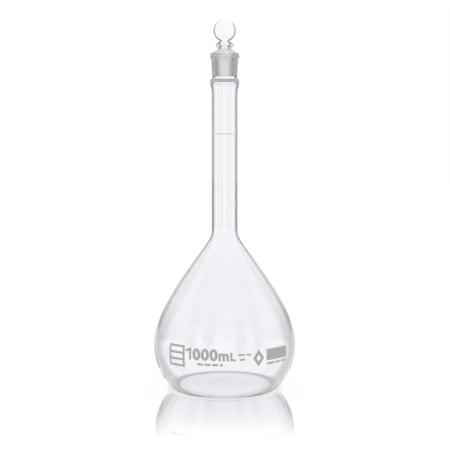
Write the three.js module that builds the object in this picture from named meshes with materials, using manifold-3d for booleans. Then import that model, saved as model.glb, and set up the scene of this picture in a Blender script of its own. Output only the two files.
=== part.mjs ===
// A 1000 mL volumetric flask: a pear-shaped blown bulb, a long neck, a ground taper socket and a solid
// penny-head stopper. Millimetres, +Z up. The origin is the centre of the foot's contact plane, and the
// printed marks face -Y.
import * as THREE from 'three';
import { TessellateModifier } from 'three/addons/modifiers/TessellateModifier.js';
import { mergeVertices } from 'three/addons/utils/BufferGeometryUtils.js';
import Module from 'manifold-3d';

const wasm = await Module();
wasm.setup();

// Facets round the axis, and steps along each curved stretch of an outline.
const FACETS = 40;
const HEAD_FACETS = 40;
const SHORT_CURVE_STEPS = 3;
const LONG_CURVE_STEPS = 8;
const TURN = 2 * Math.PI;

// The flask's outline, as [radius, height].
const PUNT_RISE = 3;
const FOOT_INNER_RADIUS = 36.5;
const FOOT_OUTER_RADIUS = 42.5;
const BULB_RADIUS = 63.3;
const BULB_WIDEST_HEIGHT = 38.5;
const NECK_RADIUS = 11.4;
const NECK_START = 143;
const SOCKET_START = 261;
const RIM_HEIGHT = 295.6;
const PUNT_CURVE = [[0, PUNT_RISE], [18, PUNT_RISE], [30, 1.2], [FOOT_INNER_RADIUS, 0]];
const HEEL_CURVE = [[FOOT_OUTER_RADIUS, 0], [45.2, 0], [46.4, 0], [47.4, 1]];
const BOWL_CURVE = [[47.4, 1], [51.2, 5.1], [BULB_RADIUS, 16.9], [BULB_RADIUS, BULB_WIDEST_HEIGHT]];
const SHOULDER_CURVE = [[BULB_RADIUS, BULB_WIDEST_HEIGHT], [BULB_RADIUS, 66], [40.6, 95.6], [19.9, 124.4]];
const THROAT_CURVE = [[19.9, 124.4], [12.9, 134.1], [11.5, 135.6], [NECK_RADIUS, NECK_START]];

// Wall thickness: thickest in the base, thinning towards the neck.
const BASE_WALL = 2.4;
const BULB_WALL = 1.9;
const NECK_WALL = 1.2;

// The seals where the three glass workpieces are fused, and the width left between the solids there.
const BULB_SEAL = 135.5;
const SOCKET_SEAL = SOCKET_START;
const SEAL_GAP = 0.3;

// The socket: a bulge, a waist, a ground taper of 1 in 10 on the diameter, and a beaded lip.
const BULGE_CURVE = [[NECK_RADIUS, SOCKET_START], [NECK_RADIUS, 267], [12.6, 268], [12.85, 272.2]];
const WAIST_CURVE = [[12.85, 272.2], [12.95, 274.6], [11.9, 275], [10.85, 276.3]];
const GROUND_FOOT_CURVE = [[10.85, 276.3], [10.6, 276.9], [11.1, 277.2], [11.2, 278.2]];
const LIP_CURVE = [[11.75, 292.8], [13, 292.8], [13.6, 294.6], [12.8, RIM_HEIGHT]];
const NECK_BORE = NECK_RADIUS - NECK_WALL;
const INNER_BULGE_CURVE = [[NECK_BORE, SOCKET_START], [NECK_BORE, 266], [11.3, 267], [11.3, 270.2]];
const INNER_WAIST_CURVE = [[11.3, 270.2], [11.3, 273.2], [9.5, 273.6], [9.45, 276.2]];
const BORE_MOUTH_RADIUS = 10.48;

// The stopper: a ground plug, a conical shoulder over the lip, a waist, a collar and a flat round head.
const GROUND_CLEARANCE = 0.15;
const LIP_CLEARANCE = 0.3;
const PLUG_END = 275.6;
const PLUG_END_RADIUS = 9.2;
const PLUG_CHAMFER = 0.6;
const SHOULDER_RADIUS = 13;
const SHOULDER_EDGE = 0.6;
const CONE_TOP = [6.6, 300.1];
const WAIST_DIP_CURVE = [CONE_TOP, [5.9, 300.5], [5.6, 300.9], [5.6, 301.4]];
const COLLAR_CURVE = [[5.6, 301.4], [6.3, 303.2], [8.6, 303.4], [7.8, 305.2]];
const COLLAR_TOP_CURVE = [[7.8, 305.2], [7.3, 306.4], [6, 306.1], [5.1, 307]];
const STEM_TOP = 309;
const HEAD_RADIUS = 9.8;
const HEAD_HEIGHT = 317;
const HEAD_HALF_THICKNESS = 3.2;
const HEAD_FLAT_RADIUS = 6.6;

// The fired enamel marks. Places are the distance round the bulb from the front line, and the height.
const ENAMEL_THICKNESS = 0.2;
const ENAMEL_GAP = 0.1;
const ENAMEL_FACET = 4.5;
const ENAMEL_SPLITS = 6;
const GRADUATION_HEIGHT = 226.6;
const GRADUATION_WIDTH = 0.7;
const PATCH = { left: 38, right: 62.4, bottom: 34.6, top: 44.2, columns: 12, rows: 3 };
const DIGIT_BASELINE = 36;
const DIGIT_HEIGHT = 10;
const DIGIT_STROKE = 1.9;
const DIGIT_WIDTH = 7;
const THIN_STROKE = 0.8 * DIGIT_STROKE;
const FLAG_UNDERSIDE = 1.3 * DIGIT_STROKE;
const ZERO_CENTRES = [-24.3, -16.8, -9.3];
const ONE_RIGHT = -29.6;
const ONE_WIDTH = 4.9;
const UNIT_M = { left: -5.1, width: 8.6, height: 6.6, stroke: 1.7 };
const UNIT_L = { left: 4.8, width: 4.7, height: 7.2, stroke: 1.5 };
const MAKER_PANEL = { left: -52.9, right: -36.4, bottom: 29, top: 47.5, frame: 1.8, slots: 3 };
const CLASS_MARK = { centre: 29.8, middle: 37.4, halfWidth: 5.2, halfHeight: 7.2, stroke: 0.55 };

const COLOURS = {
  clear_glass: { color: 0xf2f6fa, roughness: 0.02, metalness: 0, transparent: true, opacity: 0.35 },
  ground_glass: { color: 0xd9dae0, roughness: 0.6, metalness: 0, transparent: true, opacity: 0.7 },
  enamel: { color: 0xa9abae, roughness: 0.55, metalness: 0 },
};

function point([radius, height]) {
  return new THREE.Vector2(radius, height);
}

/** Points along a cubic curve given by its four [radius, height] control points. */
function curve(controls, steps) {
  return new THREE.CubicBezierCurve(...controls.map(point)).getPoints(steps);
}

/** An outline without the points that repeat where two stretches meet. */
function joined(...stretches) {
  return stretches.flat().filter((p, i, all) => i === 0 || p.distanceTo(all[i - 1]) > 1e-6);
}

/** The outside of the glass from the middle of the base up to the start of the socket. */
function bodyOutline() {
  return joined(
    curve(PUNT_CURVE, SHORT_CURVE_STEPS),
    curve(HEEL_CURVE, SHORT_CURVE_STEPS),
    curve(BOWL_CURVE, LONG_CURVE_STEPS),
    curve(SHOULDER_CURVE, LONG_CURVE_STEPS),
    curve(THROAT_CURVE, 2 * SHORT_CURVE_STEPS),
    [point([NECK_RADIUS, SOCKET_START])],
  );
}

/** Wall thickness at a height: base to bulb, then bulb to neck. */
function wallAt(height) {
  if (height < BULB_WIDEST_HEIGHT) {
    return THREE.MathUtils.mapLinear(height, 0, BULB_WIDEST_HEIGHT, BASE_WALL, BULB_WALL);
  }
  const clamped = Math.min(height, NECK_START);
  return THREE.MathUtils.mapLinear(clamped, BULB_WIDEST_HEIGHT, NECK_START, BULB_WALL, NECK_WALL);
}

/** The inside of the glass: each outside point moved in by the wall thickness there. */
function inset(outline) {
  return outline.map((p, i) => {
    const before = outline[Math.max(i - 1, 0)];
    const after = outline[Math.min(i + 1, outline.length - 1)];
    const along = after.clone().sub(before).normalize();
    const wall = wallAt(p.y);
    const onAxis = p.x === 0;
    return new THREE.Vector2(onAxis ? 0 : p.x - along.y * wall, onAxis ? p.y + wall : p.y + along.x * wall);
  });
}

/** The part of a rising outline between two heights, cut by straight interpolation. */
function between(outline, low, high) {
  const cut = (height) => {
    const i = outline.findIndex((p, k) => k > 0 && outline[k - 1].y < height && p.y >= height);
    const share = (height - outline[i - 1].y) / (outline[i].y - outline[i - 1].y);
    return outline[i - 1].clone().lerp(outline[i], share);
  };
  const kept = outline.filter((p) => p.y > low && p.y < high);
  return joined(low === -Infinity ? [] : [cut(low)], kept, high === Infinity ? [] : [cut(high)]);
}

/** A solid of revolution about +Z from an outline that closes on the axis or on itself. */
function turned(outline, facets = FACETS) {
  return new THREE.LatheGeometry(outline, facets).rotateX(Math.PI / 2);
}

/** A wall of revolution between an outside and an inside outline that both rise. */
function turnedWall(outside, inside) {
  const ring = [...outside, ...inside.slice().reverse()];
  const closesOnAxis = outside[0].x === 0;
  return turned(closesOnAxis ? ring : [...ring, outside[0].clone()]);
}

function bulbGeometry() {
  const outside = bodyOutline();
  const top = BULB_SEAL - SEAL_GAP / 2;
  return turnedWall(between(outside, -Infinity, top), between(inset(outside), -Infinity, top));
}

function neckGeometry() {
  const outside = bodyOutline();
  const bottom = BULB_SEAL + SEAL_GAP / 2;
  const top = SOCKET_SEAL - SEAL_GAP / 2;
  return turnedWall(between(outside, bottom, top), between(inset(outside), bottom, top));
}

function socketGeometry() {
  const outside = joined(
    curve(BULGE_CURVE, SHORT_CURVE_STEPS + 1),
    curve(WAIST_CURVE, SHORT_CURVE_STEPS + 1),
    curve(GROUND_FOOT_CURVE, SHORT_CURVE_STEPS),
    curve(LIP_CURVE, 2 * SHORT_CURVE_STEPS),
  );
  const inside = joined(
    curve(INNER_BULGE_CURVE, SHORT_CURVE_STEPS + 1),
    curve(INNER_WAIST_CURVE, SHORT_CURVE_STEPS + 1),
    [point([BORE_MOUTH_RADIUS, RIM_HEIGHT])],
  );
  return turnedWall(outside, inside);
}

/** A closed geometry as a manifold solid, with its shared vertices merged. */
function solid(geometry) {
  const bare = geometry.clone();
  bare.deleteAttribute('normal');
  bare.deleteAttribute('uv');
  const merged = mergeVertices(bare, 1e-4);
  return new wasm.Manifold(
    new wasm.Mesh({
      numProp: 3,
      vertProperties: new Float32Array(merged.attributes.position.array),
      triVerts: new Uint32Array(merged.index.array),
    }),
  );
}

/** A manifold solid as a geometry. */
function geometryOf(manifold) {
  const mesh = manifold.getMesh();
  const geometry = new THREE.BufferGeometry();
  geometry.setAttribute('position', new THREE.BufferAttribute(mesh.vertProperties, 3));
  geometry.setIndex(new THREE.BufferAttribute(mesh.triVerts, 1));
  geometry.computeVertexNormals();
  return geometry;
}

/** The turned part of the stopper, from the plug's lower end to the short stem inside the head. */
function stopperStem() {
  const seat = RIM_HEIGHT + LIP_CLEARANCE;
  const plugTop = BORE_MOUTH_RADIUS - GROUND_CLEARANCE;
  return turned(joined(
    [point([0, PLUG_END]), point([PLUG_END_RADIUS - PLUG_CHAMFER, PLUG_END])],
    [point([PLUG_END_RADIUS, PLUG_END + PLUG_CHAMFER]), point([plugTop, RIM_HEIGHT])],
    [point([plugTop, seat]), point([SHOULDER_RADIUS, seat])],
    [point([SHOULDER_RADIUS, seat + SHOULDER_EDGE])],
    curve(WAIST_DIP_CURVE, SHORT_CURVE_STEPS),
    curve(COLLAR_CURVE, 2 * SHORT_CURVE_STEPS),
    curve(COLLAR_TOP_CURVE, SHORT_CURVE_STEPS),
    [point([COLLAR_TOP_CURVE[3][0], STEM_TOP]), point([0, STEM_TOP])],
  ));
}

/** The head: a disc with flat faces and a full round edge, standing on its rim, its faces towards -Y and +Y. */
function stopperHead() {
  const edge = curve(
    [
      [HEAD_FLAT_RADIUS, -HEAD_HALF_THICKNESS],
      [HEAD_RADIUS, -HEAD_HALF_THICKNESS],
      [HEAD_RADIUS, -HEAD_HALF_THICKNESS / 2],
      [HEAD_RADIUS, 0],
    ],
    2 * SHORT_CURVE_STEPS,
  );
  const otherHalf = edge.map((p) => new THREE.Vector2(p.x, -p.y)).reverse();
  const outline = joined([point([0, -HEAD_HALF_THICKNESS])], edge, otherHalf, [point([0, HEAD_HALF_THICKNESS])]);
  return new THREE.LatheGeometry(outline, HEAD_FACETS).translate(0, 0, HEAD_HEIGHT);
}

function stopperGeometry() {
  return geometryOf(solid(stopperStem()).add(solid(stopperHead())));
}

/** The line round the neck that marks the capacity. */
function graduationGeometry() {
  const inner = NECK_RADIUS + ENAMEL_GAP;
  const outer = inner + ENAMEL_THICKNESS;
  const low = GRADUATION_HEIGHT - GRADUATION_WIDTH / 2;
  const high = GRADUATION_HEIGHT + GRADUATION_WIDTH / 2;
  return turned([[outer, low], [outer, high], [inner, high], [inner, low], [outer, low]].map(point));
}

/** The bulb's outside radius at a height. */
function bulbRadiusAt(height) {
  const outline = bodyOutline();
  return between(outline, height, height + 1)[0].x;
}

/** Bends a flat mark (x round the bulb, y height, z thickness) onto the front of the bulb. */
function wrapped(geometry) {
  const places = geometry.attributes.position;
  for (let i = 0; i < places.count; i += 1) {
    const radius = bulbRadiusAt(places.getY(i));
    const angle = places.getX(i) / BULB_RADIUS;
    const reach = radius + ENAMEL_GAP + places.getZ(i);
    places.setXYZ(i, reach * Math.sin(angle), -reach * Math.cos(angle), places.getY(i));
  }
  geometry.computeVertexNormals();
  return geometry;
}

/** A flat mark cut into facets small enough to follow the bulb, then bent onto it. */
function markGeometry(shape) {
  const flat = new THREE.ExtrudeGeometry(shape, { depth: ENAMEL_THICKNESS, bevelEnabled: false });
  return wrapped(new TessellateModifier(ENAMEL_FACET, ENAMEL_SPLITS).modify(flat));
}

function closedShape(corners) {
  return new THREE.Shape(corners.map(([x, y]) => new THREE.Vector2(x, y)));
}

function ellipsePath(centre, middle, halfWidth, halfHeight, clockwise) {
  const path = new THREE.Path();
  path.absellipse(centre, middle, halfWidth, halfHeight, 0, TURN, clockwise, 0);
  return new THREE.Path(path.getPoints(4 * SHORT_CURVE_STEPS).slice(0, -1));
}

function zeroShape(centre) {
  const middle = DIGIT_BASELINE + DIGIT_HEIGHT / 2;
  const rim = ellipsePath(centre, middle, DIGIT_WIDTH / 2, DIGIT_HEIGHT / 2, false);
  const shape = new THREE.Shape(rim.getPoints());
  const holeWidth = DIGIT_WIDTH / 2 - DIGIT_STROKE;
  shape.holes.push(ellipsePath(centre, middle, holeWidth, DIGIT_HEIGHT / 2 - THIN_STROKE, true));
  return shape;
}

function oneShape() {
  const right = ONE_RIGHT;
  const top = DIGIT_BASELINE + DIGIT_HEIGHT;
  const flag = right - ONE_WIDTH;
  return closedShape([
    [right, DIGIT_BASELINE],
    [right, top],
    [right - THIN_STROKE, top],
    [flag, top - DIGIT_STROKE],
    [flag, top - 2 * DIGIT_STROKE],
    [right - DIGIT_STROKE, top - FLAG_UNDERSIDE],
    [right - DIGIT_STROKE, DIGIT_BASELINE],
  ]);
}

/** A plain m: a bar across the top with three legs. */
function unitMShape() {
  const { left, width, height, stroke } = UNIT_M;
  const gap = (width - 3 * stroke) / 2;
  const top = DIGIT_BASELINE + height;
  const under = top - stroke;
  const corners = [[left, DIGIT_BASELINE], [left + stroke, DIGIT_BASELINE]];
  for (let leg = 1; leg < 3; leg += 1) {
    const start = left + leg * (stroke + gap);
    corners.push([start - gap, under], [start, under], [start, DIGIT_BASELINE], [start + stroke, DIGIT_BASELINE]);
  }
  return closedShape([...corners, [left + width, top], [left, top]]);
}

function unitLShape() {
  const { left, width, height, stroke } = UNIT_L;
  return closedShape([
    [left, DIGIT_BASELINE],
    [left + width, DIGIT_BASELINE],
    [left + width, DIGIT_BASELINE + stroke],
    [left + stroke, DIGIT_BASELINE + stroke],
    [left + stroke, DIGIT_BASELINE + height],
    [left, DIGIT_BASELINE + height],
  ]);
}

function rectangleCorners(left, right, bottom, top) {
  return [[left, bottom], [right, bottom], [right, top], [left, top]];
}

/** A plain panel with three level slots, where a maker's block would be. */
function makerPanelShape() {
  const { left, right, bottom, top, frame, slots } = MAKER_PANEL;
  const shape = closedShape(rectangleCorners(left, right, bottom, top));
  const slotHeight = (top - bottom - (slots + 1) * frame) / slots;
  for (let i = 0; i < slots; i += 1) {
    const low = bottom + frame + i * (slotHeight + frame);
    const corners = rectangleCorners(left + frame, right - frame, low, low + slotHeight).reverse();
    shape.holes.push(new THREE.Path(corners.map(([x, y]) => new THREE.Vector2(x, y))));
  }
  return shape;
}

/** An open diamond, where a class letter would be. */
function classMarkShape() {
  const { centre, middle, halfWidth, halfHeight, stroke } = CLASS_MARK;
  const diamond = (share) => [
    [centre, middle - halfHeight * share],
    [centre + halfWidth * share, middle],
    [centre, middle + halfHeight * share],
    [centre - halfWidth * share, middle],
  ];
  const shape = closedShape(diamond(1));
  shape.holes.push(new THREE.Path(diamond(stroke).reverse().map(([x, y]) => new THREE.Vector2(x, y))));
  return shape;
}

/** The solid patch that is written on with a pencil. */
function patchGeometry() {
  const { left, right, bottom, top, columns, rows } = PATCH;
  const box = new THREE.BoxGeometry(right - left, top - bottom, ENAMEL_THICKNESS, columns, rows, 1);
  return wrapped(box.translate((left + right) / 2, (bottom + top) / 2, ENAMEL_THICKNESS / 2));
}

function piece(name, geometry, finish) {
  const mesh = new THREE.Mesh(geometry, new THREE.MeshStandardMaterial(COLOURS[finish]));
  mesh.name = name;
  return mesh;
}

function flaskGlass() {
  const group = new THREE.Group();
  group.add(
    piece('bulb', bulbGeometry(), 'clear_glass'),
    piece('neck_tube', neckGeometry(), 'clear_glass'),
    piece('ground_socket', socketGeometry(), 'ground_glass'),
  );
  return group;
}

function enamelMarks() {
  const group = new THREE.Group();
  group.add(
    piece('graduation_ring', graduationGeometry(), 'enamel'),
    piece('writing_patch', patchGeometry(), 'enamel'),
    piece('maker_panel', markGeometry(makerPanelShape()), 'enamel'),
    piece('class_mark', markGeometry(classMarkShape()), 'enamel'),
    piece('volume_digit_1', markGeometry(oneShape()), 'enamel'),
    piece('unit_letter_m', markGeometry(unitMShape()), 'enamel'),
    piece('unit_letter_l', markGeometry(unitLShape()), 'enamel'),
  );
  ZERO_CENTRES.forEach((centre, i) => {
    group.add(piece(`volume_digit_${i + 2}`, markGeometry(zeroShape(centre)), 'enamel'));
  });
  return group;
}

const flask = new THREE.Group();
flask.add(flaskGlass(), enamelMarks(), piece('stopper', stopperGeometry(), 'ground_glass'));

export default flask;
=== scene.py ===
"""A 1000 mL volumetric flask with a ground taper stopper, in clear glass, ground glass and fired enamel."""

import logging
import math
from collections.abc import Callable, Iterable, Mapping, Sequence
from dataclasses import dataclass, field
from enum import Enum, IntEnum

import bmesh
import bpy
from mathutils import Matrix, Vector


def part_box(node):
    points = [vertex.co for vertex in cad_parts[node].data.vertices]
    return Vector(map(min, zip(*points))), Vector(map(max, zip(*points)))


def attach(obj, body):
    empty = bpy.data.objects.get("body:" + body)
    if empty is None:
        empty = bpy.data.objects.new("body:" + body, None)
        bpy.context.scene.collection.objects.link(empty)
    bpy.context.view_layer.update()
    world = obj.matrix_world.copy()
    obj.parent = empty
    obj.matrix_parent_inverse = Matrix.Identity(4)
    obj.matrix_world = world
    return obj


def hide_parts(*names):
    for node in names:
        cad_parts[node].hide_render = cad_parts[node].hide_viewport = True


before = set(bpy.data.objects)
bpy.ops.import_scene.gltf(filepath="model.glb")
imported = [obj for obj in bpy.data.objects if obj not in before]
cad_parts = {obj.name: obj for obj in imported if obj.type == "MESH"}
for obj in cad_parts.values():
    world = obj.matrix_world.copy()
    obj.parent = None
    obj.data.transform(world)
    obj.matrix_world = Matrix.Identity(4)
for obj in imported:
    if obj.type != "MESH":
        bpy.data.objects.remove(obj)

LOG = logging.getLogger("volumetric_flask")
MM = 0.001
TAU = 2 * math.pi
SAME_POINT = 1e-5

Colour = tuple[float, float, float, float]
Point = tuple[float, float]
Outline = list[Point]
Band = Callable[[int], int]

WHITE: Colour = (1.0, 1.0, 1.0, 1.0)
BLACK: Colour = (0.0, 0.0, 0.0, 1.0)


class Body(Enum):
    """The two things that move apart."""

    FLASK = "flask"
    STOPPER = "stopper"


class Slot(Enum):
    """The finishes that the record names."""

    CLEAR = "clear_glass"
    GROUND = "ground_glass"
    ENAMEL = "enamel"


class Finish(IntEnum):
    """The finishes of a glass piece's faces, in the order of its materials."""

    CLEAR = 0
    GROUND = 1
    SATIN = 2


# ---- Shader trees ----


@dataclass(frozen=True)
class Signal:
    """A shader value that can be used in a Python expression."""

    tree: "ShaderTree"
    socket: bpy.types.NodeSocket

    def _math(self, operation: str, *values: "Signal | float") -> "Signal":
        """One Math node.

        Args:
            operation: The Math node's operation.
            values: Its inputs in order.

        Returns:
            The node's result.
        """
        inputs = dict(enumerate(values))
        return self.tree.node("ShaderNodeMath", {"operation": operation}, inputs)

    def __add__(self, other: "Signal | float") -> "Signal":
        """Sum."""
        return self._math("ADD", self, other)

    def __radd__(self, other: float) -> "Signal":
        """Sum with a number on the left."""
        return self._math("ADD", other, self)

    def __sub__(self, other: "Signal | float") -> "Signal":
        """Difference."""
        return self._math("SUBTRACT", self, other)

    def __rsub__(self, other: float) -> "Signal":
        """Difference from a number on the left."""
        return self._math("SUBTRACT", other, self)

    def __mul__(self, other: "Signal | float") -> "Signal":
        """Product."""
        return self._math("MULTIPLY", self, other)

    def __rmul__(self, other: float) -> "Signal":
        """Product with a number on the left."""
        return self._math("MULTIPLY", other, self)

    def cosine(self) -> "Signal":
        """Cosine of an angle in radians."""
        return self._math("COSINE", self)

    def remapped(self, low: float, high: float, to_low: float, to_high: float) -> "Signal":
        """A smooth change from to_low at low to to_high at high.

        Args:
            low: The value at which the change starts.
            high: The value at which it ends.
            to_low: The result up to low.
            to_high: The result from high on.

        Returns:
            The changed value.
        """
        values = {"Value": self, "From Min": low, "From Max": high, "To Min": to_low, "To Max": to_high}
        return self.tree.node("ShaderNodeMapRange", {"interpolation_type": "SMOOTHSTEP"}, values)


@dataclass(frozen=True)
class Grain:
    """A fractal pattern: features per metre, octaves, and how strong the fine octaves are."""

    scale: float
    detail: float = 2.0
    roughness: float = 0.5


class ShaderTree:
    """The nodes of one material or of the world."""

    def __init__(self, owner: bpy.types.Material | bpy.types.World, output: str) -> None:
        """Clears the owner's nodes and adds its output.

        Args:
            owner: The material or world.
            output: The type of its output node.
        """
        owner.use_nodes = True
        self.nodes = owner.node_tree.nodes
        self.links = owner.node_tree.links
        self.nodes.clear()
        self.output = self.nodes.new(output)

    def node(
        self,
        kind: str,
        settings: Mapping[str, object] | None = None,
        inputs: Mapping[str | int, object] | None = None,
        result: str | int = 0,
    ) -> Signal:
        """Adds a node.

        Args:
            kind: The node's type.
            settings: Its properties, set before its sockets.
            inputs: Values or signals for its sockets, by name, identifier or place.
            result: The output socket wanted.

        Returns:
            That output as a signal.
        """
        made = self.nodes.new(kind)
        for name, value in (settings or {}).items():
            setattr(made, name, value)
        for key, value in (inputs or {}).items():
            self.feed(self.socket(made.inputs, key), value)
        return Signal(self, self.socket(made.outputs, result))

    def socket(self, sockets: Sequence[bpy.types.NodeSocket], key: str | int) -> bpy.types.NodeSocket:
        """Finds a socket.

        Args:
            sockets: A node's inputs or its outputs.
            key: The socket's place, or its identifier where names repeat, or its name.

        Returns:
            The socket.
        """
        named = {s.identifier: s for s in sockets}
        return named.get(key) or sockets[key]

    def feed(self, socket: bpy.types.NodeSocket, value: object) -> None:
        """Links a signal to a socket, or sets the socket's own value.

        Args:
            socket: The input socket.
            value: A signal, a number or a tuple.
        """
        if isinstance(value, Signal):
            self.links.new(value.socket, socket)
        else:
            socket.default_value = value

    def mix(self, factor: Signal, low: Colour, high: Colour) -> Signal:
        """A colour between two colours.

        Args:
            factor: 0 for low, 1 for high.
            low: The first colour.
            high: The second colour.

        Returns:
            The mixed colour.
        """
        values = {"Factor_Float": factor, "A_Color": low, "B_Color": high}
        return self.node("ShaderNodeMix", {"data_type": "RGBA"}, values, "Result_Color")

    def noise(self, place: Signal, grain: Grain) -> Signal:
        """Fractal noise.

        Args:
            place: The coordinates.
            grain: Its pattern.

        Returns:
            A value about 0.5.
        """
        values = {"Vector": place, "Scale": grain.scale, "Detail": grain.detail, "Roughness": grain.roughness}
        return self.node("ShaderNodeTexNoise", None, values)

    def object_place(self) -> Signal:
        """Coordinates in the object's own frame."""
        return self.node("ShaderNodeTexCoord", None, None, "Object")

    def stretched(self, place: Signal, scale: tuple[float, float, float]) -> Signal:
        """Coordinates scaled along each axis.

        Args:
            place: The coordinates.
            scale: The factor along X, Y and Z.

        Returns:
            The scaled coordinates.
        """
        return self.node("ShaderNodeVectorMath", {"operation": "MULTIPLY"}, {0: place, 1: scale})

    def bump(self, height: Signal, strength: float, distance: float) -> Signal:
        """A normal from a height.

        Args:
            height: The height signal.
            strength: How much of it is used.
            distance: What a height of 1 means, in metres.

        Returns:
            The normal.
        """
        values = {"Height": height, "Strength": strength, "Distance": distance}
        return self.node("ShaderNodeBump", None, values)

    def part(self, vector: Signal, axis: int) -> Signal:
        """The X, Y or Z of a vector, for an axis of 0, 1 or 2."""
        return self.node("ShaderNodeSeparateXYZ", None, {0: vector}, axis)

    def ring(self, place: Signal, count: int) -> Signal:
        """A wave round the Z axis.

        Args:
            place: The coordinates, or a direction.
            count: How many crests it has, the first towards +Y.

        Returns:
            A value from -1 to 1, with 1 on the crests.
        """
        across, along = self.part(place, 0), self.part(place, 1)
        angle = self.node("ShaderNodeMath", {"operation": "ARCTAN2"}, {0: across, 1: along})
        return (angle * count).cosine()

    def surface(self, shader: Signal) -> None:
        """Sends a shader to the output."""
        self.feed(self.output.inputs["Surface"], shader)


def new_material(name: str) -> tuple[bpy.types.Material, ShaderTree]:
    """A material with an empty tree.

    Args:
        name: The material's name.

    Returns:
        The material and its tree.
    """
    material = bpy.data.materials.new(name)
    return material, ShaderTree(material, "ShaderNodeOutputMaterial")


# ---- Finishes ----


@dataclass(frozen=True)
class ClearGlass:
    """Fire-polished borosilicate glass with the faint waves of blown and drawn glass, and painted shade where
    it is seen edge on.
    """

    name: str = "clear_glass"
    tint: Colour = (0.982, 0.978, 0.998, 1.0)
    # painted shade: the dark colour the glass takes where it is seen edge on, for its dark outlines
    painted_rim_shade: Colour = (0.10, 0.11, 0.17, 1.0)
    rim_start: float = 0.40
    rim_end: float = 0.82
    foot: tuple[float, float] = (0.002, 0.014)
    foot_rim: float = 0.36
    heel: tuple[float, float] = (0.0004, 0.0024)
    heel_rim: float = 0.60
    shoulder: tuple[float, float] = (0.050, 0.080)
    bowl_rim: float = 0.62
    shoulder_rim: float = 0.20
    throat: tuple[float, float] = (0.126, 0.142)
    neck_rim: float = 0.95
    head_middle: tuple[float, float] = (0.3155, 0.323)
    head_rim: float = 0.50
    ior: float = 1.473
    rim_blend: float = 0.5
    waves: Grain = Grain(28.0, 1.0, 0.3)
    wave_height: float = 0.00012
    draw_stretch: float = 0.22
    smears: Grain = Grain(60.0, 3.0, 0.6)
    smear_range: tuple[float, float] = (0.5, 0.8)
    smear_roughness: float = 0.03

    def painted_rim_depth(self, height: Signal) -> Signal:
        """How much shade is painted into the glass where it is seen edge on, which changes up the flask.

        Args:
            height: The height above the foot, in metres.

        Returns:
            The depth, 0 for none.
        """
        heel = height.remapped(*self.heel, self.heel_rim, 0.0)
        bulb = height.remapped(*self.foot, self.foot_rim, self.bowl_rim)
        shoulder = height.remapped(*self.shoulder, 0.0, self.shoulder_rim - self.bowl_rim)
        neck = height.remapped(*self.throat, 0.0, self.neck_rim - self.shoulder_rim)
        head = height.remapped(*self.head_middle, 0.0, self.head_rim - self.neck_rim)
        return heel + bulb + shoulder + neck + head

    def build(self) -> bpy.types.Material:
        """Makes the material.

        Returns:
            The material.
        """
        material, tree = new_material(self.name)
        place = tree.object_place()
        drawn = tree.stretched(place, (1.0, 1.0, self.draw_stretch))
        waves = tree.noise(drawn, self.waves)
        smears = tree.noise(place, self.smears)
        facing = tree.node("ShaderNodeLayerWeight", None, {"Blend": self.rim_blend}, "Facing")
        rim = facing.remapped(self.rim_start, self.rim_end, 0.0, 1.0)
        depth = self.painted_rim_depth(tree.part(place, 2))
        tree.surface(tree.node("ShaderNodeBsdfPrincipled", None, {
            # painted shade: the glass's colour darkens where it is seen edge on, by an amount set for each
            # height
            "Base Color": tree.mix(rim * depth, self.tint, self.painted_rim_shade),
            "Roughness": smears.remapped(*self.smear_range, 0.0, self.smear_roughness),
            "IOR": self.ior,
            "Transmission Weight": 1.0,
            "Normal": tree.bump(waves, 1.0, self.wave_height),
        }))
        return material


@dataclass(frozen=True)
class GroundGlass:
    """Glass ground with fine grit, with faint turning marks round it."""

    name: str = "ground_glass"
    tint: Colour = (0.985, 0.975, 0.995, 1.0)
    ior: float = 1.473
    roughness: tuple[float, float] = (0.30, 0.50)
    grit: Grain = Grain(2600.0, 2.0, 0.7)
    rings: Grain = Grain(90.0, 3.0, 0.6)
    ring_squeeze: float = 12.0
    ring_range: tuple[float, float] = (0.35, 0.65)
    ring_share: float = 2.0
    bump_strength: float = 0.6
    bump_height: float = 0.00001

    def build(self) -> bpy.types.Material:
        """Makes the material.

        Returns:
            The material.
        """
        material, tree = new_material(self.name)
        place = tree.object_place()
        rings = tree.noise(tree.stretched(place, (1.0, 1.0, self.ring_squeeze)), self.rings)
        height = tree.noise(place, self.grit) + rings * self.ring_share
        tree.surface(tree.node("ShaderNodeBsdfPrincipled", None, {
            "Base Color": self.tint,
            "Roughness": rings.remapped(*self.ring_range, *self.roughness),
            "IOR": self.ior,
            "Transmission Weight": 1.0,
            "Normal": tree.bump(height, self.bump_strength, self.bump_height),
        }))
        return material


@dataclass(frozen=True)
class FiredEnamel:
    """Grey-white enamel print, a little uneven and slightly rough."""

    name: str = "enamel"
    light: Colour = (0.41, 0.415, 0.42, 1.0)
    dark: Colour = (0.36, 0.365, 0.37, 1.0)
    mottle: Grain = Grain(420.0, 4.0, 0.6)
    colour_range: tuple[float, float] = (0.35, 0.70)
    gloss_range: tuple[float, float] = (0.30, 0.70)
    roughness: tuple[float, float] = (0.42, 0.62)
    grain: Grain = Grain(2400.0, 2.0, 0.6)
    grain_strength: float = 0.5
    grain_height: float = 0.00002

    def build(self) -> bpy.types.Material:
        """Makes the material.

        Returns:
            The material.
        """
        material, tree = new_material(self.name)
        place = tree.object_place()
        mottle = tree.noise(place, self.mottle)
        grain = tree.noise(place, self.grain)
        tree.surface(tree.node("ShaderNodeBsdfPrincipled", None, {
            "Base Color": tree.mix(mottle.remapped(*self.colour_range, 0.0, 1.0), self.light, self.dark),
            "Roughness": mottle.remapped(*self.gloss_range, *self.roughness),
            "Normal": tree.bump(grain, self.grain_strength, self.grain_height),
        }))
        return material


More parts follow.
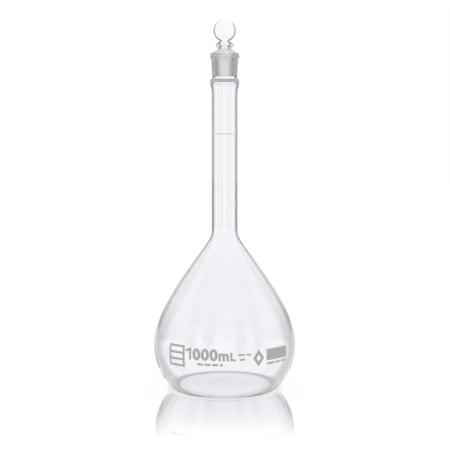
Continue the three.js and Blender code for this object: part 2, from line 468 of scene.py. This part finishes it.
@dataclass(frozen=True)
class Room:
    """White panels round the table with dark gaps between them, as the glass bends them into view."""

    panels: int = 4
    panel_light: float = 0.97
    panel_start: float = 0.44
    panel_end: float = -0.08
    gap_light: float = 0.12
    narrow: tuple[float, float] = (-0.95, -0.80)

    def light(self, tree: ShaderTree, place: Signal) -> Signal:
        """How bright the room is all round, with a narrow panel in the middle of each gap.

        Args:
            tree: The nodes it is added to.
            place: The coordinates, or a direction.

        Returns:
            The brightness.
        """
        wave = tree.ring(place, self.panels)
        wide = wave.remapped(self.panel_end, self.panel_start, self.gap_light, self.panel_light)
        return wide + wave.remapped(*self.narrow, self.panel_light - self.gap_light, 0.0)


@dataclass(frozen=True)
class StudioFloor:
    """A white polished table that mirrors what stands on it, less and less away from the middle.

    The camera sees it evenly white, but for a painted soft shadow round the foot. Through its bends the glass
    sees a white middle that glows, with a painted ring of pale card shapes round it and the same painted
    shadow.
    """

    name: str = "studio_floor"
    colour: Colour = (0.10, 0.10, 0.10, 1.0)
    dullness: float = 0.6
    glow: float = 0.93
    mirror: float = 0.95
    foot_edge: tuple[float, float] = (0.0480, 0.0570)
    # painted shadow: a grey ring on the floor round the foot, between contact_inner and contact_outer
    contact_inner: tuple[float, float] = (0.0400, 0.0420)
    contact_outer: tuple[float, float] = (0.0450, 0.0580)
    painted_shadow_tint: Colour = (0.80, 0.80, 0.83, 1.0)
    painted_shadow_depth: float = 0.35
    mirror_start: float = 0.055
    mirror_end: float = 0.205
    gloss_roughness: float = 0.02
    gloss_tint: Colour = (0.99, 0.99, 1.0, 1.0)
    # painted light: seen through the glass, the floor glows in a ring of pale card shapes with darker gaps,
    # fading to the room's panels far off
    glowing_cards: int = 8
    near_light: float = 0.96
    card_light: float = 0.92
    gap_light: float = 0.84
    gap_start: float = 0.20
    gap_end: float = -0.80
    near_radius: float = 0.205
    card_radius: float = 0.255
    distant: tuple[float, float] = (0.9, 1.5)

    def build(self) -> bpy.types.Material:
        """Makes the material.

        Returns:
            The material.
        """
        material, tree = new_material(self.name)
        place = tree.object_place()
        flat = tree.stretched(place, (1.0, 1.0, 0.0))
        reach = tree.node("ShaderNodeVectorMath", {"operation": "LENGTH"}, {0: flat}, "Value")
        fade = reach.remapped(self.mirror_start, self.mirror_end, self.mirror, 0.0)
        share = fade * reach.remapped(*self.foot_edge, 0.0, 1.0)
        # painted shadow: the ring round the foot where the floor is made darker
        contact_shadow = reach.remapped(*self.contact_inner, 0.0, 1.0)
        contact_shadow = contact_shadow - reach.remapped(*self.contact_outer, 0.0, 1.0)
        base = self.lit(tree, self.colour, tree.mix(contact_shadow, WHITE, self.painted_shadow_tint), self.glow)
        gloss_sockets = {"Color": self.gloss_tint, "Roughness": self.gloss_roughness}
        gloss = tree.node("ShaderNodeBsdfGlossy", None, gloss_sockets)
        seen = tree.node("ShaderNodeMixShader", None, {0: share, 1: base, 2: gloss})
        # painted light: the glow pattern that bent rays see on the floor
        wave = tree.ring(place, self.glowing_cards)
        ring = wave.remapped(self.gap_end, self.gap_start, self.gap_light, self.card_light)
        outer = reach.remapped(self.near_radius, self.card_radius, 0.0, 1.0)
        table = self.near_light + (ring - self.near_light) * outer
        table = table + (Room().light(tree, place) - table) * reach.remapped(*self.distant, 0.0, 1.0)
        # the same painted shadow, in what the glass sees of the floor
        table = table * (1.0 - contact_shadow * self.painted_shadow_depth)
        # a floor that glows though it is no lamp: the painted card pattern with the painted shadow
        glowing_cards = self.lit(tree, BLACK, table, 1.0)
        direct = tree.node("ShaderNodeLightPath", None, None, "Is Camera Ray")
        tree.surface(tree.node("ShaderNodeMixShader", None, {0: direct, 1: glowing_cards, 2: seen}))
        return material

    def lit(self, tree: ShaderTree, colour: Colour, glow: Signal, strength: float) -> Signal:
        """A dull surface that also glows.

        Args:
            tree: The floor's nodes.
            colour: What it reflects.
            glow: The colour that it gives off.
            strength: How strongly it gives that off.

        Returns:
            The shader.
        """
        return tree.node("ShaderNodeBsdfPrincipled", None, {
            "Base Color": colour,
            "Roughness": self.dullness,
            "Specular IOR Level": 0.0,
            "Emission Color": glow,
            "Emission Strength": strength,
        })


# ---- Mesh building ----


def cubic(controls: Sequence[Point], steps: int) -> Outline:
    """Points along a cubic curve.

    Args:
        controls: Its four control points, as (radius, height) in millimetres.
        steps: How many stretches it is cut into.

    Returns:
        The points, both ends included.
    """
    a, b, c, d = (Vector(p) for p in controls)
    made = []
    for i in range(steps + 1):
        t = i / steps
        u = 1 - t
        p = a * u**3 + b * (3 * u * u * t) + c * (3 * u * t * t) + d * t**3
        made.append((p.x, p.y))
    return made


def joined(*stretches: Iterable[Point]) -> Outline:
    """Stretches of an outline end to end, without the points that repeat where they meet.

    Args:
        stretches: The stretches in order.

    Returns:
        The whole outline.
    """
    whole: Outline = []
    for p in (p for stretch in stretches for p in stretch):
        if not whole or math.dist(p, whole[-1]) > SAME_POINT:
            whole.append(p)
    return whole


def straight(start: Point, end: Point, steps: int) -> Outline:
    """Points along a straight line.

    Args:
        start: The first point.
        end: The last point.
        steps: How many stretches it is cut into.

    Returns:
        The points, both ends included.
    """
    a, b = Vector(start), Vector(end)
    points = [a.lerp(b, i / steps) for i in range(steps + 1)]
    return [(p.x, p.y) for p in points]


@dataclass
class Section:
    """One level of a lofted piece: a superellipse, where a power of 2 is an ellipse and more is squarer."""

    half_width: float
    half_depth: float
    height: float
    power: float = 2.0

    def at(self, angle: float) -> Vector:
        """A point of the section.

        Args:
            angle: Where it lies round the section, in radians.

        Returns:
            The point, in metres.
        """
        c, s = math.cos(angle), math.sin(angle)
        bend = 2 / self.power
        x = math.copysign(abs(c) ** bend, c) * self.half_width
        y = math.copysign(abs(s) ** bend, s) * self.half_depth
        return Vector((x, y, self.height)) * MM


class Piece:
    """A finished object: a mesh with its materials, riding on a body."""

    def __init__(self, name: str, body: Body, slot: Slot, materials: Sequence[bpy.types.Material]) -> None:
        """Names the piece.

        Args:
            name: The object's name.
            body: The body it rides on.
            slot: The record's finish it takes.
            materials: Its materials, in the order of its faces' indices.
        """
        self.name = name
        self.body = body
        self.slot = slot
        self.materials = materials
        self.bm = bmesh.new()

    def loft(self, sections: Sequence[Section], facets: int, band: Band = lambda i: 0) -> None:
        """Skins a run of sections, closing each end in a point where the section has no width.

        Args:
            sections: The levels in order.
            facets: Points round each level.
            band: The material index of the faces between level i and i + 1.
        """
        rings = []
        for s in sections:
            if s.half_width <= 0:
                rings.append([self.bm.verts.new((0, 0, s.height * MM))])
            else:
                rings.append([self.bm.verts.new(s.at(TAU * k / facets)) for k in range(facets)])
        for i, (low, high) in enumerate(zip(rings, rings[1:])):
            for k in range(facets):
                after = (k + 1) % facets
                lower = [low[k % len(low)], low[after % len(low)]]
                upper = [high[after % len(high)], high[k % len(high)]]
                corners = list(dict.fromkeys(lower + upper))
                self.bm.faces.new(corners).material_index = band(i)

    def finish(self, replaces: Sequence[str], smooth: bool = True) -> bpy.types.Object:
        """Makes the object and tells the frame what it is.

        Args:
            replaces: The CAD nodes it stands for.
            smooth: Whether its faces shade as one surface.

        Returns:
            The object.
        """
        bmesh.ops.recalc_face_normals(self.bm, faces=self.bm.faces)
        for face in self.bm.faces:
            face.smooth = smooth
        mesh = bpy.data.meshes.new(self.name)
        self.bm.to_mesh(mesh)
        self.bm.free()
        for material in self.materials:
            mesh.materials.append(material)
        made = bpy.data.objects.new(self.name, mesh)
        bpy.context.scene.collection.objects.link(made)
        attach(made, self.body.value)
        if replaces:
            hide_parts(*replaces)
        LOG.info("%s: %d faces on %s", self.name, len(mesh.polygons), self.body.value)
        return made


# ---- The flask ----


@dataclass(frozen=True)
class Extent:
    """How far a CAD node reaches from the axis and between which heights, in millimetres to the micron."""

    reach: float
    low: float
    high: float

    @classmethod
    def of(cls, node: str) -> "Extent":
        """Measures a node.

        Args:
            node: Its name.

        Returns:
            Its extent.
        """
        low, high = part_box(node)
        return cls(*(round(v / MM, 3) for v in (high[0], low[2], high[2])))


@dataclass
class FlaskGlass:
    """The flask's one continuous wall of glass, from the foot to the lip, in millimetres."""

    finishes: Sequence[bpy.types.Material]
    bulb: Extent
    neck: Extent
    socket: Extent
    widest: float = 38.5
    neck_radius: float = 11.4
    punt_rise: float = 3.0
    foot_inner: float = 36.5
    foot_outer: float = 42.5
    heel: Point = (47.4, 1.0)
    throat: Point = (19.9, 124.4)
    bulge: Point = (12.85, 272.2)
    waist: Point = (10.85, 276.3)
    socket_foot: Point = (11.2, 278.2)
    lip_foot: Point = (11.75, 292.0)
    lip_side: Point = (13.1, 294.0)
    inner_bulge: Point = (11.3, 270.2)
    bore_foot: Point = (9.45, 276.2)
    bore_mouth: float = 10.48
    mouth_drop: float = 0.4
    base_wall: float = 2.4
    bulb_wall: float = 1.9
    neck_wall: float = 1.2
    neck_start: float = 143.0
    seal_ridge: float = 0.14
    seal_width: float = 1.1
    worn_height: float = 0.3
    worn_inner: float = 39.5
    ground_top_gap: float = 0.3
    facets: int = 256
    outside: Outline = field(default_factory=list)

    @property
    def bulb_seal(self) -> float:
        """The height of the seal between the bulb and the neck."""
        return (self.bulb.high + self.neck.low) / 2

    def body_outline(self) -> Outline:
        """The outside from the middle of the base up to the socket.

        Returns:
            Its points, as (radius, height).
        """
        r, h, rise, neck = self.bulb.reach, self.widest, self.punt_rise, self.neck_radius
        foot = (self.foot_outer, 0.0)
        return joined(
            cubic([(0, rise), (18, rise), (30, 1.2), (self.foot_inner, 0)], 12),
            straight((self.foot_inner, 0), foot, 4),
            cubic([foot, (45.2, 0), (46.4, 0), self.heel], 8),
            cubic([self.heel, (51.2, 5.1), (r, 16.9), (r, h)], 30),
            cubic([(r, h), (r, 66), (40.6, 95.6), self.throat], 40),
            cubic([self.throat, (12.9, 134.1), (11.5, 135.6), (neck, self.neck_start)], 22),
            straight((neck, self.neck_start), (neck, self.socket.low), 12),
        )

    def wall_at(self, height: float) -> float:
        """The wall's thickness.

        Args:
            height: The level.

        Returns:
            The thickness there.
        """
        if height < self.widest:
            return self.base_wall + (self.bulb_wall - self.base_wall) * height / self.widest
        share = min(1.0, (height - self.widest) / (self.neck_start - self.widest))
        return self.bulb_wall + (self.neck_wall - self.bulb_wall) * share

    def inset(self, outline: Outline) -> Outline:
        """The inside that goes with an outside, each point moved in by the wall there.

        Args:
            outline: The outside, from the axis up.

        Returns:
            The inside in the same order.
        """
        made = []
        for i, (radius, height) in enumerate(outline):
            before = Vector(outline[max(i - 1, 0)])
            along = (Vector(outline[min(i + 1, len(outline) - 1)]) - before).normalized()
            wall = self.wall_at(height)
            if radius <= 0:
                made.append((0.0, height + wall))
            else:
                made.append((radius - along.y * wall, height + along.x * wall))
        return made

    def ridged(self, outline: Outline) -> Outline:
        """Adds the slight thickening that the seal between bulb and neck leaves.

        Args:
            outline: The outside or the inside.

        Returns:
            The same points, those off the axis moved out near the seal.
        """
        def lift(height: float) -> float:
            """How far a point moves out."""
            return self.seal_ridge * math.exp(-(((height - self.bulb_seal) / self.seal_width) ** 2))

        return [(r + (lift(z) if r > self.neck_wall else 0.0), z) for r, z in outline]

    def socket_outside(self) -> Outline:
        """The outside from the start of the socket to the lip's inner edge.

        Returns:
            Its points, as (radius, height).
        """
        neck, rim = self.neck_radius, self.socket.high
        mouth = (self.bore_mouth, rim - self.mouth_drop)
        return joined(
            cubic([(neck, self.socket.low), (neck, 267), (12.6, 268), self.bulge], 20),
            cubic([self.bulge, (12.95, 274.6), (11.9, 275), self.waist], 20),
            cubic([self.waist, (10.6, 276.9), (11.1, 277.2), self.socket_foot], 8),
            straight(self.socket_foot, self.lip_foot, 10),
            cubic([self.lip_foot, (11.9, 292.9), (13.0, 292.4), self.lip_side], 10),
            cubic([self.lip_side, (13.15, 295.0), (12.8, rim), (12.2, rim)], 8),
            cubic([(11.0, rim), (10.7, rim), (10.5, rim - 0.1), mouth], 5),
        )

    def socket_inside(self) -> Outline:
        """The inside from the start of the socket up to the bore's mouth.

        Returns:
            Its points, as (radius, height).
        """
        bore, rim = self.neck_radius - self.neck_wall, self.socket.high
        return joined(
            cubic([(bore, self.socket.low), (bore, 266), (11.3, 267), self.inner_bulge], 20),
            cubic([self.inner_bulge, (11.3, 273.2), (9.5, 273.6), self.bore_foot], 20),
            straight(self.bore_foot, (self.bore_mouth, rim - self.mouth_drop), 20),
        )

    def build(self) -> bpy.types.Object:
        """Makes the wall, with its bore ground from the waist to the mouth.

        Returns:
            The piece.
        """
        body = self.body_outline()
        inside = joined(self.ridged(self.inset(body)), self.socket_inside())
        self.outside = joined(self.ridged(body), self.socket_outside())
        wall = joined(self.outside, reversed(inside))
        bore_foot, bore_top = self.bore_foot[1], self.socket.high - self.ground_top_gap

        def band(i: int) -> Finish:
            """The finish of a band of faces.

            Args:
                i: The point that the band starts from.

            Returns:
                Its finish.
            """
            (r0, z0), (_, z1) = wall[i], wall[i + 1]
            middle = (z0 + z1) / 2
            if i >= len(self.outside) - 1:
                return Finish.GROUND if bore_foot < middle < bore_top else Finish.CLEAR
            worn = middle < self.worn_height and r0 > self.worn_inner
            return Finish.SATIN if worn or middle > self.lip_foot[1] else Finish.CLEAR

        piece = Piece("flask_glass", Body.FLASK, Slot.CLEAR, self.finishes)
        piece.loft([Section(r, r, z) for r, z in wall], self.facets, band)
        return piece.finish(["bulb", "neck_tube", "ground_socket"])

    def radius_at(self, height: float) -> float:
        """The bulb's outside radius.

        Args:
            height: The level, in millimetres.

        Returns:
            The radius there, in millimetres.
        """
        rising = [p for p in self.outside if p[0] > self.foot_outer or p[1] > self.widest]
        for (r0, z0), (r1, z1) in zip(rising, rising[1:]):
            if z0 <= height < z1:
                return r0 + (r1 - r0) * (height - z0) / (z1 - z0)
        raise ValueError(f"the bulb has no outside at height {height}")


@dataclass
class Stopper:
    """The solid stopper, in millimetres.

    It has a ground plug, a conical shoulder, a waist, a collar and a flat round head.
    """

    finishes: Sequence[bpy.types.Material]
    size: Extent
    rim: float
    plug_end_radius: float = 9.2
    plug_top_radius: float = 10.33
    plug_bevel: float = 0.9
    plug_margins: tuple[float, float] = (0.3, 0.2)
    seat: float = 295.9
    seat_inner: float = 10.7
    seat_round: float = 0.3
    shoulder_edge: float = 296.6
    cone_top: Point = (7.6, 299.5)
    cone_end: float = 300.2
    waist: Point = (5.6, 301.4)
    collar: Point = (7.9, 304.4)
    collar_top: Point = (6.4, 306.3)
    stem: Point = (5.1, 307.4)
    head_radius: float = 9.8
    head_half_thickness: float = 3.2
    head_power: float = 4.5
    head_start: float = 0.92
    head_change: float = 0.62
    head_levels: int = 72
    facets: int = 192

    @property
    def head_height(self) -> float:
        """The height of the head's middle."""
        return self.size.high - self.head_radius

    def turned(self) -> Outline:
        """The round part, from the middle of the plug's lower face up to the stem.

        Returns:
            Its points, as (radius, height).
        """
        end, low, top = self.size.low, self.plug_end_radius, self.plug_top_radius
        seat, shoulder = self.seat, self.size.reach
        face, side = (low - self.plug_bevel, end), (low + 0.03, end + 0.8)
        inner, outer = (self.seat_inner, seat), (shoulder - self.seat_round, seat)
        cone_foot = (shoulder - 0.2, self.shoulder_edge)
        return joined(
            straight((0, end), face, 6),
            cubic([face, (low - 0.3, end), (low, end + 0.2), side], 6),
            straight(side, (top, self.rim), 20),
            cubic([(top, self.rim), (10.34, seat), (10.4, seat), inner], 4),
            straight(inner, outer, 3),
            cubic([outer, (shoulder, seat), (shoulder, seat + 0.2), cone_foot], 6),
            straight(cone_foot, self.cone_top, 10),
            cubic([self.cone_top, (6.5, 300.1), (5.6, 300.5), self.waist], 8),
            cubic([self.waist, (5.7, 302.4), (7.9, 302.8), self.collar], 10),
            cubic([self.collar, (7.9, 305.6), (7.2, 306.2), self.collar_top], 8),
            cubic([self.collar_top, (5.7, 306.4), (5.3, 306.6), self.stem], 5),
        )

    def head_section(self, height: float) -> Section:
        """The head at a height: narrow and round at the stem, then wide and flat.

        Args:
            height: The level, between the stem and the top.

        Returns:
            Its section.
        """
        stem, power = self.stem[0], self.head_power
        up = (height - self.head_height) / self.head_radius
        width = self.head_radius * math.sqrt(max(0.0, 1 - up * up))
        thickness = self.head_half_thickness * max(0.0, 1 - abs(up) ** power) ** (1 / power)
        share = min(1.0, max(0.0, (up + self.head_start) / self.head_change))
        share = share * share * (3 - 2 * share)
        below = up < 0
        half_width = max(width, stem) if below else width
        half_depth = stem + (thickness - stem) * share if below else thickness
        return Section(half_width, half_depth, height, 2 + (power - 2) * share)

    def head(self) -> list[Section]:
        """The head's levels from the stem to the top, closer together where it closes.

        Returns:
            Its sections.
        """
        start = math.asin(-self.head_start)
        levels = []
        for i in range(self.head_levels + 1):
            angle = start + (math.pi / 2 - start) * i / self.head_levels
            levels.append(self.head_section(self.head_height + self.head_radius * math.sin(angle)))
        levels[-1] = Section(0, 0, self.size.high)
        return levels

    def build(self) -> bpy.types.Object:
        """Makes the stopper, with its plug's side ground and its shoulder satin.

        Returns:
            The piece.
        """
        outline = self.turned()
        low, high = self.size.low + self.plug_margins[0], self.rim - self.plug_margins[1]

        def band(i: int) -> Finish:
            """The finish of a band of faces.

            Args:
                i: The point that the band starts from.

            Returns:
                Its finish.
            """
            if i + 1 >= len(outline):
                return Finish.CLEAR
            middle = (outline[i][1] + outline[i + 1][1]) / 2
            if low < middle < high:
                return Finish.GROUND
            return Finish.SATIN if high <= middle < self.cone_end else Finish.CLEAR

        sections = [Section(r, r, z) for r, z in outline] + self.head()
        piece = Piece("stopper_glass", Body.STOPPER, Slot.GROUND, self.finishes)
        piece.loft(sections, self.facets, band)
        return piece.finish(["stopper"])


# ---- The print ----


@dataclass(frozen=True)
class Frame2D:
    """A rectangle on the unrolled bulb: distance round it from the front line, and height, in millimetres."""

    left: float
    right: float
    bottom: float
    top: float


def rectangle(place: Frame2D) -> Outline:
    """A rectangle's corners.

    Args:
        place: The rectangle.

    Returns:
        The corners.
    """
    left, right, bottom, top = place.left, place.right, place.bottom, place.top
    return [(left, bottom), (right, bottom), (right, top), (left, top)]


def lozenge(place: Frame2D, share: float) -> Outline:
    """The corners of a diamond about a rectangle's middle.

    Args:
        place: The rectangle.
        share: The diamond's size, 1 to touch the rectangle's sides.

    Returns:
        The corners.
    """
    x, y = (place.left + place.right) / 2, (place.bottom + place.top) / 2
    across, up = (place.right - x) * share, (place.top - y) * share
    return [(x, y - up), (x + across, y), (x, y + up), (x - across, y)]


@dataclass
class Print:
    """The fired marks on the bulb and the neck, in millimetres."""

    glass: FlaskGlass
    enamel: bpy.types.Material
    pale: bpy.types.Material
    thickness: float = 0.06
    gap: float = 0.015
    cell: float = 1.2
    text_weight: float = 0.042
    text_steps: int = 6
    stroke: float = 2.0
    flag: float = 1.7
    flag_tip: float = 1.5
    flag_slope: float = 1.4
    panel_frame: float = 1.9
    panel_slots: int = 3
    diamond_hole: float = 0.42
    line_width: float = 0.32
    cut_tolerance: float = 1e-4
    merge_distance: float = 1e-7
    bars: tuple[tuple[str, Point, tuple[Point, ...]], ...] = (
        ("temperature_bar", (31.7, 33.5), ((-23.8, -18.4), (-17.2, -11.6), (-10.4, -5.4), (-4.2, -1.3))),
        ("tolerance_bar", (40.2, 41.8), ((11.4, 17.4), (18.6, 22.6))),
        ("size_bar", (36.2, 37.8), ((12.6, 17.6),)),
        ("standard_bar", (31.0, 32.7), ((38.4, 46.6), (48.2, 54.2), (55.8, 61.8))),
    )

    def arc(self, across: float, height: float) -> float:
        """The distance round the bulb of a point that stands a distance to the side, in millimetres."""
        return self.glass.bulb.reach * math.asin(across / self.glass.radius_at(height))

    def place(self, node: str) -> Frame2D:
        """The rectangle that a CAD mark covers.

        Args:
            node: The mark's name.

        Returns:
            The rectangle.
        """
        low, high = ([v / MM for v in corner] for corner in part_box(node))
        middle = (low[2] + high[2]) / 2
        return Frame2D(self.arc(low[0], middle), self.arc(high[0], middle), low[2], high[2])

    def wrap(self, piece: Piece) -> None:
        """Cuts a flat mark into narrow cells and bends it onto the bulb.

        Args:
            piece: The mark, drawn with x round the bulb, y its height and z 0 to 1 through its thickness.
        """
        for axis in (0, 1):
            low = min(v.co[axis] for v in piece.bm.verts)
            high = max(v.co[axis] for v in piece.bm.verts)
            normal = Vector((1 - axis, axis, 0))
            for k in range(1, int((high - low) / self.cell) + 1):
                everything = [*piece.bm.verts, *piece.bm.edges, *piece.bm.faces]
                point = normal * (low + k * self.cell)
                bmesh.ops.bisect_plane(
                    piece.bm, geom=everything, dist=self.cut_tolerance, plane_co=point, plane_no=normal
                )
        for v in piece.bm.verts:
            radius = self.glass.radius_at(v.co.y) + self.gap + v.co.z * self.thickness
            angle = v.co.x / self.glass.bulb.reach
            v.co = Vector((radius * math.sin(angle), -radius * math.cos(angle), v.co.y)) * MM

    def extrude(self, piece: Piece, corners: Outline, holes: Sequence[Outline]) -> None:
        """Adds a flat shape of thickness 1.

        Args:
            piece: The mark it is added to.
            corners: Its outline.
            holes: The outlines of its holes.
        """
        loops = [[piece.bm.verts.new((x, y, 1)) for x, y in ring] for ring in (corners, *holes)]
        edges = [piece.bm.edges.new((a, b)) for ring in loops for a, b in zip(ring, ring[1:] + ring[:1])]
        made = bmesh.ops.triangle_fill(piece.bm, use_beauty=True, edges=edges)
        faces = [g for g in made["geom"] if isinstance(g, bmesh.types.BMFace)]
        back = bmesh.ops.extrude_face_region(piece.bm, geom=faces, use_keep_orig=True)
        for v in (g for g in back["geom"] if isinstance(g, bmesh.types.BMVert)):
            v.co.z = 0

    def mark(self, name: str) -> Piece:
        """An empty mark."""
        return Piece(name, Body.FLASK, Slot.ENAMEL, [self.enamel])

    def text(self, name: str, body: str, node: str) -> None:
        """Prints letters or numerals, stretched to fill a CAD mark's rectangle.

        Args:
            name: The piece's name.
            body: What is printed.
            node: The CAD mark that it stands for.
        """
        curve = bpy.data.curves.new(name, "FONT")
        curve.body = body
        curve.offset = self.text_weight
        curve.extrude = 0.5
        curve.resolution_u = self.text_steps
        source = bpy.data.objects.new(name, curve)
        mesh = bpy.data.meshes.new_from_object(source)
        bpy.data.objects.remove(source)
        bpy.data.curves.remove(curve)
        piece = self.mark(name)
        piece.bm.from_mesh(mesh)
        bpy.data.meshes.remove(mesh)
        bmesh.ops.remove_doubles(piece.bm, verts=piece.bm.verts, dist=SAME_POINT)
        low, high = ([pick(v.co[i] for v in piece.bm.verts) for i in range(3)] for pick in (min, max))
        place = self.place(node)
        for v in piece.bm.verts:
            share = [(v.co[i] - low[i]) / (high[i] - low[i]) for i in range(3)]
            x = place.left + (place.right - place.left) * share[0]
            y = place.bottom + (place.top - place.bottom) * share[1]
            v.co = (x, y, share[2])
        self.wrap(piece)
        piece.finish([node], smooth=False)

    def shape(self, name: str, corners: Outline, holes: Sequence[Outline], replaces: Sequence[str]) -> None:
        """Prints one flat shape.

        Args:
            name: The piece's name.
            corners: Its outline.
            holes: The outlines of its holes.
            replaces: The CAD nodes it stands for.
        """
        piece = self.mark(name)
        self.extrude(piece, corners, holes)
        self.wrap(piece)
        piece.finish(replaces, smooth=False)

    def numerals(self) -> None:
        """The capacity and its unit."""
        one = self.place("volume_digit_1")
        self.shape("volume_figure_1", [
            (one.right, one.bottom),
            (one.right, one.top),
            (one.right - self.flag_tip, one.top),
            (one.left, one.top - self.flag),
            (one.left, one.top - 2 * self.flag),
            (one.right - self.stroke, one.top - self.flag_slope * self.flag),
            (one.right - self.stroke, one.bottom),
        ], [], ["volume_digit_1"])
        for i in (2, 3, 4):
            self.text(f"volume_figure_{i}", "0", f"volume_digit_{i}")
        self.text("unit_m", "m", "unit_letter_m")
        self.text("unit_l", "L", "unit_letter_l")

    def panels(self) -> None:
        """The writing patch, the plain maker's panel and the class diamond."""
        self.shape("note_patch", rectangle(self.place("writing_patch")), [], ["writing_patch"])
        panel = self.place("maker_panel")
        edge, slots = self.panel_frame, self.panel_slots
        slot = (panel.top - panel.bottom - (slots + 1) * edge) / slots
        lows = [panel.bottom + edge + i * (slot + edge) for i in range(slots)]
        left, right = panel.left + edge, panel.right - edge
        holes = [rectangle(Frame2D(left, right, low, low + slot)) for low in lows]
        self.shape("plain_panel", rectangle(panel), holes, ["maker_panel"])
        diamond = self.place("class_mark")
        hole = lozenge(diamond, self.diamond_hole)
        self.shape("diamond", lozenge(diamond, 1.0), [hole], ["class_mark"])

    def fine_print(self) -> None:
        """Short plain bars in place of the small lines."""
        for name, (bottom, top), spans in self.bars:
            for i, (left, right) in enumerate(spans):
                self.shape(f"{name}_{i + 1}", rectangle(Frame2D(left, right, bottom, top)), [], [])

    def line(self) -> None:
        """The capacity line round the neck."""
        low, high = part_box("graduation_ring")
        middle = (low[2] + high[2]) / 2 / MM
        inner = self.glass.neck_radius + self.gap
        outer = inner + self.thickness
        half = self.line_width / 2
        low, high = middle - half, middle + half
        section = [(inner, low), (outer, low), (outer, high), (inner, high)]
        piece = Piece("capacity_line", Body.FLASK, Slot.ENAMEL, [self.pale])
        piece.loft([Section(r, r, z) for r, z in [*section, section[0]]], self.glass.facets)
        bmesh.ops.remove_doubles(piece.bm, verts=piece.bm.verts, dist=self.merge_distance)
        piece.finish(["graduation_ring"], smooth=False)

    def build(self) -> None:
        """Makes every mark."""
        self.numerals()
        self.panels()
        self.fine_print()
        self.line()


# ---- The studio ----


@dataclass
class Studio:
    """A white table under a ring of tall soft panels, and the camera."""

    camera_side: float = 0.0003
    camera_distance: float = 0.8781
    camera_height: float = 0.2094
    camera_tilt: float = 4.15
    lens: float = 79.0
    table_half_size: float = 6.0
    table_drop: float = 0.0002
    wall_fade: tuple[float, float] = (0.13, 0.24)
    wall_top: float = 0.88
    dark_ceiling: tuple[float, float] = (0.60, 0.75)
    bright_ceiling: tuple[float, float] = (0.93, 0.99)
    ceiling_light: float = 0.55
    lamp_size: float = 1.6
    lamp_power: float = 14.0
    lamp_place: tuple[float, float, float] = (0.2, 0.3, 1.6)
    lamp_target: tuple[float, float, float] = (0.0, 0.0, 0.1)
    bounces: int = 64

    def camera(self) -> None:
        """Stands the camera in front of the printed side."""
        data = bpy.data.cameras.new("camera")
        data.lens = self.lens
        camera = bpy.data.objects.new("camera", data)
        camera.location = (self.camera_side, -self.camera_distance, self.camera_height)
        camera.rotation_euler = (math.radians(90 - self.camera_tilt), 0.0, 0.0)
        bpy.context.scene.collection.objects.link(camera)
        bpy.context.scene.camera = camera

    def table(self) -> None:
        """Lays the white table under the foot."""
        mesh = bpy.data.meshes.new("table")
        half = self.table_half_size
        corners = [(-half, -half, 0), (half, -half, 0), (half, half, 0), (-half, half, 0)]
        mesh.from_pydata(corners, [], [(0, 1, 2, 3)])
        mesh.materials.append(StudioFloor().build())
        table = bpy.data.objects.new("table", mesh)
        table.location.z = -self.table_drop
        bpy.context.scene.collection.objects.link(table)

    def surroundings(self) -> None:
        """The room: white all round, but what the glass bends in from between the panels is dark."""
        world = bpy.data.worlds.new("studio")
        bpy.context.scene.world = world
        tree = ShaderTree(world, "ShaderNodeOutputWorld")
        direction = tree.node("ShaderNodeTexCoord", None, None, "Generated")
        up = tree.part(direction, 2)
        low = up.remapped(*self.wall_fade, 1.0, self.wall_top)
        above = up.remapped(*self.dark_ceiling, 0.0, 1.0)
        ceiling = up.remapped(*self.bright_ceiling, self.ceiling_light, 1.0)
        wall = Room().light(tree, direction) * low
        light = wall + (ceiling - wall) * above
        room = tree.node("ShaderNodeBackground", None, {"Color": WHITE, "Strength": light})
        white = tree.node("ShaderNodeBackground", None, {"Color": WHITE, "Strength": 1.0})
        bent = tree.node("ShaderNodeLightPath", None, None, "Is Transmission Ray")
        tree.surface(tree.node("ShaderNodeMixShader", None, {0: bent, 1: white, 2: room}))

    def lamp(self) -> None:
        """A wide soft lamp above."""
        data = bpy.data.lights.new("overhead", "AREA")
        data.shape = "DISK"
        data.size = self.lamp_size
        data.energy = self.lamp_power
        lamp = bpy.data.objects.new("overhead", data)
        lamp.location = self.lamp_place
        aim = Vector(self.lamp_target) - Vector(self.lamp_place)
        lamp.rotation_euler = aim.to_track_quat("-Z", "Y").to_euler()
        lamp.visible_transmission = False
        bpy.context.scene.collection.objects.link(lamp)

    def build(self) -> None:
        """Sets everything up."""
        self.camera()
        self.table()
        self.surroundings()
        self.lamp()
        bpy.context.scene.view_settings.view_transform = "Standard"
        cycles = bpy.context.scene.cycles
        cycles.max_bounces = cycles.transmission_bounces = cycles.glossy_bounces = self.bounces


def main() -> None:
    """Builds the studio, the flask, its stopper and its print."""
    logging.basicConfig(level=logging.INFO, format="%(name)s: %(message)s")
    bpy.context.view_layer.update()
    satin = GroundGlass(name="satin_glass", roughness=(0.22, 0.38))
    finishes = [glass.build() for glass in (ClearGlass(), GroundGlass(), satin)]
    enamel = FiredEnamel().build()
    pale_light, pale_dark = (0.78, 0.78, 0.80, 1.0), (0.64, 0.64, 0.66, 1.0)
    pale = FiredEnamel(name="pale_enamel", light=pale_light, dark=pale_dark).build()
    Studio().build()
    bulb, neck, socket = (Extent.of(node) for node in ("bulb", "neck_tube", "ground_socket"))
    flask = FlaskGlass(finishes, bulb, neck, socket)
    flask.build()
    Stopper(finishes, Extent.of("stopper"), socket.high).build()
    Print(flask, enamel, pale).build()


if __name__ == "__main__":
    main()
